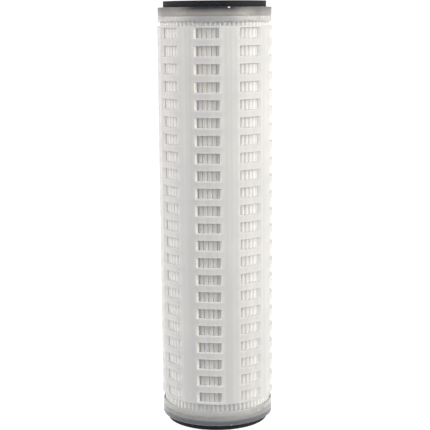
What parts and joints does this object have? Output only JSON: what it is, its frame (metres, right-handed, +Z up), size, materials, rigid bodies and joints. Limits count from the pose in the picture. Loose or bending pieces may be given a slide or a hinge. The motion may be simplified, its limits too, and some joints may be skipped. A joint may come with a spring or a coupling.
{
  "type": "pleated filter cartridge",
  "caption": "Slim round pleated filter cartridge, open at both ends, with a windowed outer cage and a flat gasket on each end cap.",
  "frame": {"origin": "centre of the bottom gasket's lower face, which the cartridge stands on", "axes": "+Z up along the cartridge's axis, from the bottom gasket to the top gasket; -Y is the front"},
  "size_m": [0.0684, 0.0684, 0.254],
  "materials": {
    "gasket_rubber": "black foamed rubber, matt",
    "end_cap_plastic": "natural polypropylene, translucent, satin",
    "cage_plastic": "natural polypropylene, translucent, satin",
    "core_plastic": "natural polypropylene, satin",
    "support_fabric": "spun-bonded polypropylene fleece",
    "media_fabric": "fine melt-blown filter sheet",
    "seam_plastic": "welded polypropylene"
  },
  "bodies": {
    "root": {"top_gasket": "gasket_rubber", "bottom_gasket": "gasket_rubber", "top_end_cap": "end_cap_plastic", "bottom_end_cap": "end_cap_plastic", "outer_cage": "cage_plastic", "inner_core": "core_plastic", "upstream_support": "support_fabric", "filter_media": "media_fabric", "downstream_support": "support_fabric", "side_seam": "seam_plastic"}
  },
  "joints": []
}
